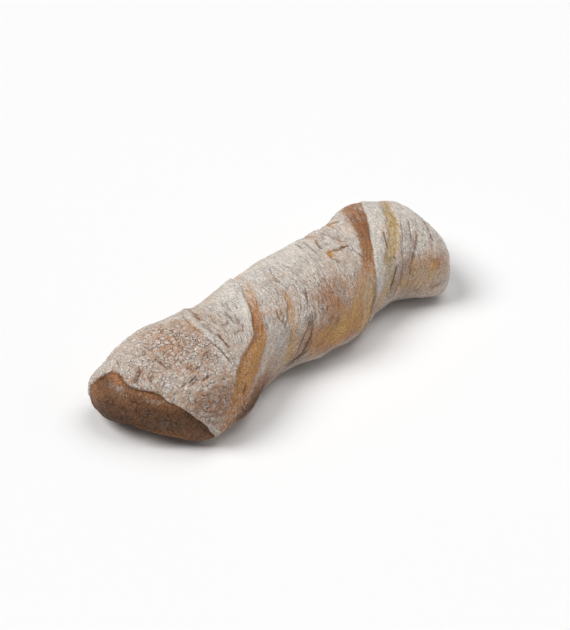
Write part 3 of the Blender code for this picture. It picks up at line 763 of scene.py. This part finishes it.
def bare_places(along, turn, points):
    """Each point's distance inside the nearest bare place, and its bake, flour and ragged edge."""
    skin = skin_length(along)
    across, z = points[:, 1], points[:, 2]
    inside = np.where(along < FACE_ENDS, -beyond(CUT_LIP, skin, turn)[0], FAR_OUTSIDE)
    bake, flour = np.full(len(skin), FACE_BAKE), np.full(len(skin), FACE_FLOUR)
    for y, height, half_width, half_height, more_flour, more_bake in FACE_BLOTCHES:
        shape = np.exp(-(((across - y) / half_width) ** 2) - ((z - height) / half_height) ** 2)
        bake += more_bake * shape
        flour += more_flour * shape
    ragged = np.full(len(skin), 0.2)
    for start, end, start_ragged, end_ragged, tones in BANDS:
        past_start, to_end = beyond(start, skin, turn)[0], -beyond(end, skin, turn)[0]
        depth = np.minimum(past_start, to_end)
        depth = np.where(depth > DEEPEST_IN_BAND, FAR_OUTSIDE, depth)
        band_bake, band_flour = tones_round(tones, turn)
        towards_end = soft_step(past_start - to_end, -3, 3)
        here = depth > inside
        inside = np.where(here, depth, inside)
        bake = np.where(here, band_bake, bake)
        flour = np.where(here, band_flour, flour)
        edge = start_ragged + (end_ragged - start_ragged) * towards_end
        ragged = np.where(here, edge, ragged)
    return inside, bake, flour, ragged


def paint_crust(mesh, along, turn, wobble, bare_place, stroke):
    """Keeps the fields that the crust's material reads."""
    inside, bare_bake, bare_flour, ragged = bare_place
    bareness, aside, darkness = stroke
    flour = FLOUR + blotches(FLOUR_BLOTCHES, along, turn)
    bake = BAKE + blotches(BAKE_BLOTCHES, along, turn)
    pitted = blotches(PITS, along, turn)
    veined = blotches(VEINS, along, turn)
    keep_field(mesh, "bare", np.clip(inside + wobble, -20, 20))
    keep_field(mesh, "bake", np.stack([bake, bare_bake, ragged], 1))
    keep_field(mesh, "flour", np.stack([flour, bare_flour, bareness], 1))
    keep_field(mesh, "texture", np.stack([grainy_share(along, turn), pitted, veined], 1))
    # The nearest dark line and its darkness: the cracks, and the painted shade in the creases and
    # folds.
    keep_field(mesh, "cracks_and_crease_shade", np.stack([aside, darkness, 0 * aside], 1))


# ---- materials
def linear(red, green, blue):
    """A colour given as an eye sees it, 0 to 255, as Blender's linear colour."""
    shares = [c / 255 for c in (red, green, blue)]
    return tuple(c / 12.92 if c <= 0.04045 else ((c + 0.055) / 1.055) ** 2.4 for c in shares) + (1,)


class Maker:
    """Makes a material's nodes and joins them up."""

    def __init__(self, name):
        self.material = bpy.data.materials.new(name)
        self.material.use_nodes = True
        self.tree = self.material.node_tree
        self.shader = self.tree.nodes["Principled BSDF"]

    def node(self, kind, outlet=0, settings=(), **inputs):
        """A node of this kind, with its settings and inputs, and the outlet asked for.

        An input is named as Blender names it, or i0, i1... by its place among the node's inputs.
        """
        made = self.tree.nodes.new("ShaderNode" + kind)
        for name, value in dict(settings).items():
            setattr(made, name, value)
        for name, value in inputs.items():
            socket = int(name[1:]) if name[1:].isdigit() else name.replace("_", " ")
            self.feed(made.inputs[socket], value)
        return made.outputs[outlet]

    def feed(self, socket, value):
        if isinstance(value, bpy.types.NodeSocket):
            self.tree.links.new(value, socket)
        else:
            socket.default_value = value

    def math(self, operation, a, b=0.0, clamp=False):
        return self.node("Math", settings={"operation": operation, "use_clamp": clamp}, i0=a, i1=b)

    def blend(self, share, a, b):
        """A number or a colour, part a and part b."""
        made = self.tree.nodes.new("ShaderNodeMix")
        colour = any(isinstance(v, tuple) or getattr(v, "type", "") == "RGBA" for v in (a, b))
        made.data_type = "RGBA" if colour else "FLOAT"
        first = 6 if colour else 2
        self.feed(made.inputs[0], share)
        self.feed(made.inputs[first], a)
        self.feed(made.inputs[first + 1], b)
        return made.outputs[2 if colour else 0]

    def centred(self, value):
        """Noise shifted so that it lies evenly round 0."""
        return self.math("SUBTRACT", value, 0.5)

    def add(self, value, *more):
        """A value with others added, each times its own share."""
        for other, share in more:
            value = self.math("ADD", value, self.math("MULTIPLY", other, share))
        return value

    def step(self, value, low, high):
        """0 at low, 1 at high, smooth between."""
        return self.node(
            "MapRange", settings={"interpolation_type": "SMOOTHSTEP"},
            Value=value, From_Min=low, From_Max=high, To_Min=0.0, To_Max=1.0,
        )

    def field(self, name, vector=False):
        made = self.tree.nodes.new("ShaderNodeAttribute")
        made.attribute_name = name
        return made.outputs["Vector" if vector else "Fac"]

    def parts(self, vector):
        made = self.tree.nodes.new("ShaderNodeSeparateXYZ")
        self.feed(made.inputs[0], vector)
        return made.outputs

    def noise(self, where, size, detail=3.0, rough=0.55, distortion=0.0):
        """Noise with grains of about this size, in the units of where."""
        return self.node(
            "TexNoise", Vector=where, Scale=1 / size, Detail=detail, Roughness=rough,
            Distortion=distortion,
        )

    def shifted(self, where, size, reach):
        """A place moved about by noise, up to about this reach, so that a pattern runs unevenly."""
        noise = self.node("TexNoise", outlet="Color", Vector=where, Scale=1 / size, Detail=1.0)
        away = self.node("VectorMath", settings={"operation": "SUBTRACT"}, i0=noise, i1=(0.5, 0.5, 0.5))
        away = self.node("VectorMath", settings={"operation": "SCALE"}, i0=away, Scale=2 * reach)
        return self.node("VectorMath", settings={"operation": "ADD"}, i0=where, i1=away)

    def veins(self, where, size, width):
        """Thin wavy lines, 1 on them and 0 between, about this far apart in the units of where."""
        beside = self.math("ABSOLUTE", self.centred(self.noise(where, size, 1, 0.4)))
        return self.math("SUBTRACT", 1.0, self.step(beside, 0.25 * width, width))

    def gaps(self, where, size, width):
        """Thin gaps between crumbs of about this size: 1 in them and 0 on the crumbs."""
        beside = self.node(
            "TexVoronoi", outlet="Distance", settings={"feature": "DISTANCE_TO_EDGE"},
            Vector=where, Scale=1 / size, Randomness=1.0,
        )
        return self.math("SUBTRACT", 1.0, self.step(beside, 0.25 * width, width))

    def crumbs(self, where, size):
        """A random number from 0 to 1 for each crumb of about this size."""
        return self.parts(self.node(
            "TexVoronoi", outlet="Color", Vector=where, Scale=1 / size, Randomness=1.0,
        ))[0]

    def ramp(self, value, stops):
        made = self.tree.nodes.new("ShaderNodeValToRGB")
        self.feed(made.inputs[0], value)
        ramp = made.color_ramp
        for place, colour in stops[1:-1]:
            ramp.elements.new(place)
        for element, (place, colour) in zip(ramp.elements, stops, strict=True):
            element.position = place
            element.color = colour
        return made.outputs[0]


CRUST_COLOURS = (
    (0.0, linear(192, 166, 114)),
    (0.3, linear(198, 154, 98)),
    (0.5, linear(178, 122, 74)),
    (0.75, linear(143, 99, 67)),
    (1.0, linear(83, 58, 39)),
)
FLOUR_WARM = linear(219, 209, 197)
FLOUR_COOL = linear(214, 206, 197)
PIT_COLOUR = linear(104, 72, 54)
# Dark brown for the cracks, and for the painted shade in the creases and folds.
CRACK_AND_CREASE_SHADE_COLOUR = linear(88, 60, 42)

# Sizes of the unevenness on the crust.
SPECK_SIZE = 0.6 * MM
FINE_SIZE = 0.7 * MM
GRAIN_SIZE = 1.2 * MM
CLUMP_SIZE = 3.2 * MM
PATCH_SIZE = 9 * MM
CRUMB_SIZE = 3.0 * MM
VEIN_SPACING = 2.6 * MM
WARP_SIZE, WARP_REACH = 2.0 * MM, 1.0 * MM  # how unevenly the gaps between crumbs run
# The same among the streaks, whose places are in millimetres.
THIN_STREAK = 0.9
WIDE_STREAK = 2.6
STREAK_LINE_SPACING = 1.5
# Widths: the gap's as a share of a crumb, and the veins' as a share of their noise's range.
GAP_WIDTH = 0.1
VEIN_WIDTH = 0.04
STREAK_VEIN_WIDTH = 0.05

# How strongly each kind of unevenness darkens and lightens the crust.
SPECK_SHADE = 0.26
SPECK_LIGHT = 0.04
FINE_SHADE = 0.9
SMALL_SHADE = 0.45
GAP_SHADE = 0.35
VEIN_SHADE = 0.2
FLECKS_ON_BARE = 1.0  # flour flecks on the bare crust
PIT_STRENGTH = 0.5
# How strongly the cracks and the painted shade in the creases darken the crust.
CRACK_AND_CREASE_SHADE_STRENGTH = 0.75
BUMP = 0.3 * MM


def crust_material():
    """Baked crust of several tones under broken flour, with pits, veins and dark cracks, and painted
    light and shade in its fine grain, gaps, veins and creases.
    """
    m = Maker("floured_crust")
    at = m.node("TexCoord", outlet="Object")
    streak = m.field("streak", vector=True)
    bake_out, bake_in, ragged = m.parts(m.field("bake", vector=True))
    flour_out, flour_in, bareness = m.parts(m.field("flour", vector=True))
    grainy, pitted, veined = m.parts(m.field("texture", vector=True))
    aside, darkness, _ = m.parts(m.field("cracks_and_crease_shade", vector=True))
    inside = m.field("bare")

    # Noise in all directions by the cut end, and in streaks that run with the twist elsewhere.
    speck = m.centred(m.crumbs(at, SPECK_SIZE))
    fine = m.centred(m.noise(at, FINE_SIZE, 0))
    grain = m.centred(m.noise(at, GRAIN_SIZE, 1, 0.5))
    clump = m.centred(m.noise(at, CLUMP_SIZE, 1, 0.5))
    patch = m.centred(m.noise(at, PATCH_SIZE, 2, 0.5))
    thin = m.centred(m.noise(streak, THIN_STREAK, 1, 0.5))
    wide = m.centred(m.noise(streak, WIDE_STREAK, 1, 0.5))
    small = m.blend(grainy, thin, grain)
    large = m.blend(grainy, wide, clump)

    # The gaps between the flour's crumbs, and fine wavy veins, each stronger in some patches.
    warped = m.shifted(at, WARP_SIZE, WARP_REACH)
    streak_gap = m.math("MULTIPLY", m.gaps(streak, STREAK_LINE_SPACING, GAP_WIDTH), 0.6)
    gap = m.blend(grainy, streak_gap, m.gaps(warped, CRUMB_SIZE, GAP_WIDTH))
    gappy = m.add(large, (fine, 0.6), (veined, 0.25), (grainy, -0.04))
    gap = m.math("MULTIPLY", gap, m.step(gappy, -0.1, 0.14))
    streak_vein = m.veins(streak, STREAK_LINE_SPACING, STREAK_VEIN_WIDTH)
    vein = m.blend(grainy, streak_vein, m.veins(at, VEIN_SPACING, VEIN_WIDTH))
    veiny = m.add(patch, (fine, 0.8), (veined, 0.2))
    vein = m.math("MULTIPLY", vein, m.step(veiny, -0.06, 0.14))

    # Where the crust is bare: inside the bands and the face, through a speckled edge.
    speckle = m.add(m.math("MULTIPLY", fine, 2.0), (small, 2.0), (large, 1.0))
    torn = m.add(inside, (m.math("MULTIPLY", speckle, ragged), 2.5), (fine, 0.8))
    reach = m.add(0.3, (ragged, 1.2))
    bare = m.node(
        "MapRange", settings={"interpolation_type": "SMOOTHSTEP"},
        Value=torn, From_Min=m.math("MULTIPLY", reach, -1.0), From_Max=reach, To_Min=0.0, To_Max=1.0,
    )

    # The crust's own tone, and the flour on it.
    uneven = m.blend(bare, 0.3, 0.16)
    bake = m.add(m.blend(bare, bake_out, bake_in), (patch, uneven), (large, uneven), (small, 0.06))
    crust = m.ramp(bake, CRUST_COLOURS)
    level = m.add(m.blend(bare, flour_out, flour_in), (patch, 0.6), (large, 0.95), (small, 0.25))
    flecked = m.math("MULTIPLY", bare, m.math("SUBTRACT", 1.2, bake_in))
    level = m.add(level, (m.math("MULTIPLY", m.add(small, (fine, 0.4)), flecked), FLECKS_ON_BARE))
    level = m.add(level, (gap, -0.3), (vein, -0.34), (bareness, -0.5))
    dusted = m.step(level, -0.1, 1.1)
    flour = m.blend(m.step(patch, -0.15, 0.15), FLOUR_WARM, FLOUR_COOL)
    colour = m.blend(dusted, crust, flour)

    # Light and dark grain: painted light and shade of the fine relief, and random tone, with painted
    # shade and bare crust in the gaps and veins. Small dark pits, and dark cracks with painted shade in
    # the creases.
    shade = m.add(1.0, (speck, SPECK_SHADE), (fine, FINE_SHADE), (small, SMALL_SHADE))
    shade = m.add(shade, (gap, -GAP_SHADE), (vein, -VEIN_SHADE))
    colour = m.node(
        "VectorMath", settings={"operation": "MULTIPLY_ADD"},
        i0=colour, i1=shade, i2=m.math("MULTIPLY", speck, SPECK_LIGHT),
    )
    pit = m.step(m.add(m.add(grain, (fine, 0.8)), (pitted, -0.1), (bare, 0.16)), -0.28, -0.38)
    # Dark cracks and painted shade along the creases and folds.
    edge = m.add(m.math("ABSOLUTE", aside), (small, 1.0), (fine, 1.0))
    cracks_and_crease_shade = m.math("MULTIPLY", m.math("SUBTRACT", 1.0, m.step(edge, 0.3, 1.1)), darkness)
    colour = m.blend(m.math("MULTIPLY", pit, PIT_STRENGTH), colour, PIT_COLOUR)
    colour = m.blend(m.math("MULTIPLY", cracks_and_crease_shade, CRACK_AND_CREASE_SHADE_STRENGTH), colour, CRACK_AND_CREASE_SHADE_COLOUR)
    m.feed(m.shader.inputs["Base Color"], colour)
    m.feed(m.shader.inputs["Roughness"], m.blend(dusted, 0.6, 0.95))
    m.shader.inputs["Specular IOR Level"].default_value = 0.25

    height = m.add(m.math("MULTIPLY", dusted, 0.2), (small, 1.0), (gap, -0.5), (vein, -0.4))
    height = m.add(height, (cracks_and_crease_shade, -0.7))
    bump = m.node("Bump", Height=height, Distance=BUMP, Strength=1.0)
    m.feed(m.shader.inputs["Normal"], bump)
    return m.material


# ---- making the loaf
# The crust's low relief, each kind's size and height in millimetres.
WOBBLE_SIZE, WOBBLE = 7, 0.45  # how far the folds stray from their smooth lines
UNEVEN_SIZE, UNEVEN_HEIGHT = 6, 0.3
PEBBLE_SIZE, PEBBLE_HEIGHT = 3.4, 0.4
GRIT_SIZE, GRIT_HEIGHT = 1.8, 0.15
STREAK_SIZE, STREAK_HEIGHT = 2.6, 0.2
SMOOTH_WHERE_BARE = 0.6  # the share of the low relief that bare crust lacks


def make_loaf():
    """The loaf's crust: the cage drawn out to the body, made smooth, folded, settled and painted."""
    crust = make_cage()
    cage = refine(crust)
    mesh = crust.data
    along, turn, full = loaf_places(cage)
    smooth = rows_of(mesh.vertices, "co")
    wobble = WOBBLE * lumps(smooth, WOBBLE_SIZE, 3, seed=1)
    streaks = streak_places(along, turn, smooth)
    grainy = grainy_share(along, turn)
    bare_place = bare_places(along, turn, smooth)
    rough = 1 - SMOOTH_WHERE_BARE * soft_step(bare_place[0], -0.5, 1.5)
    stroke_relief, *stroke = draw_strokes(along, turn, wobble)
    height = fold_relief(along, turn, wobble) + stroke_relief
    height += UNEVEN_HEIGHT * lumps(smooth, UNEVEN_SIZE, 3, seed=2)
    pebbled = PEBBLE_HEIGHT * pebbles(smooth, PEBBLE_SIZE)
    gritty = GRIT_HEIGHT * lumps(smooth, GRIT_SIZE, 2, seed=3)
    height += rough * grainy * (pebbled + gritty)
    height += rough * (1 - grainy) * STREAK_HEIGHT * lumps(streaks, STREAK_SIZE, 3, seed=4)
    points = smooth + rows_of(mesh.vertices, "normal") * height[:, None]
    points[:, 2] = settle(points[:, 2])
    low, high = points.min(0), points.max(0)
    # The crust fills the solid's box exactly.
    cad_low, cad_high = (np.array(corner) / MM for corner in CAD_BOX)
    points = cad_low + (points - low) * (cad_high - cad_low) / (high - low)
    paint_crust(mesh, along, turn, wobble, bare_place, stroke)
    keep_field(mesh, "streak", streaks)
    move_points(mesh, points * MM)
    mesh.shade_smooth()
    mesh.materials.clear()
    mesh.materials.append(crust_material())
    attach(crust, "root")
    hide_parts("loaf")
    return crust


# ---- floor, light and camera
FLOOR_SIZE = 6  # metres, so that its edge is out of sight
FLOOR_PATCH = 0.2


def make_floor():
    """A near white floor for the loaf to lie on."""
    bpy.ops.object.select_all(action="DESELECT")
    bpy.ops.mesh.primitive_plane_add(size=FLOOR_SIZE)
    floor = bpy.context.object
    floor.name = "floor"
    m = Maker("white_floor")
    at = m.node("TexCoord", outlet="Object")
    tone = m.blend(m.noise(at, FLOOR_PATCH), linear(250, 249, 248), linear(251, 250, 249))
    m.feed(m.shader.inputs["Base Color"], tone)
    m.shader.inputs["Roughness"].default_value = 0.9
    floor.data.materials.append(m.material)


def direction(azimuth, elevation):
    """The way towards a point seen at this azimuth and elevation: azimuth 0 stands at the front (-Y)
    and 90 at the round end (+X).
    """
    a, e = math.radians(azimuth), math.radians(elevation)
    return Vector((math.sin(a) * math.cos(e), -math.cos(a) * math.cos(e), math.sin(e)))


# Each soft light: where it stands as seen from the loaf, its strength and how wide it looks.
LIGHTS = (
    ("window", (-130, 54), 2.15, 36),
    ("screen", (80, 68), 1.1, 46),
    ("card", (35, 24), 0.3, 50),
)
SKY = 0.12
SKY_COLOUR = (0.9, 0.95, 1.03, 1)


def make_light():
    """Three wide soft lights and a dim even sky."""
    world = bpy.context.scene.world or bpy.data.worlds.new("world")
    bpy.context.scene.world = world
    world.use_nodes = True
    background = world.node_tree.nodes["Background"]
    background.inputs["Color"].default_value = SKY_COLOUR
    background.inputs["Strength"].default_value = SKY
    for name, stands_at, strength, spread in LIGHTS:
        light = bpy.data.lights.new(name, "SUN")
        light.energy = strength
        light.angle = math.radians(spread)
        lamp = bpy.data.objects.new(name, light)
        lamp.rotation_euler = direction(*stands_at).to_track_quat("Z", "Y").to_euler()
        bpy.context.scene.collection.objects.link(lamp)


CAMERA_FROM = (-45, 38)  # azimuth and elevation, chosen: one outline can't settle them
CAMERA_DISTANCE = 1.10  # metres
CAMERA_LENS = 120
CAMERA_TARGET = Vector((0.0035, 0.0016, 0.018))


def make_camera():
    data = bpy.data.cameras.new("camera")
    data.lens = CAMERA_LENS
    camera = bpy.data.objects.new("camera", data)
    away = direction(*CAMERA_FROM)
    camera.location = CAMERA_TARGET + away * CAMERA_DISTANCE
    camera.rotation_euler = away.to_track_quat("Z", "Y").to_euler()
    bpy.context.scene.collection.objects.link(camera)
    bpy.context.scene.camera = camera
    bpy.context.scene.view_settings.view_transform = "Standard"


make_loaf()
make_floor()
make_light()
make_camera()
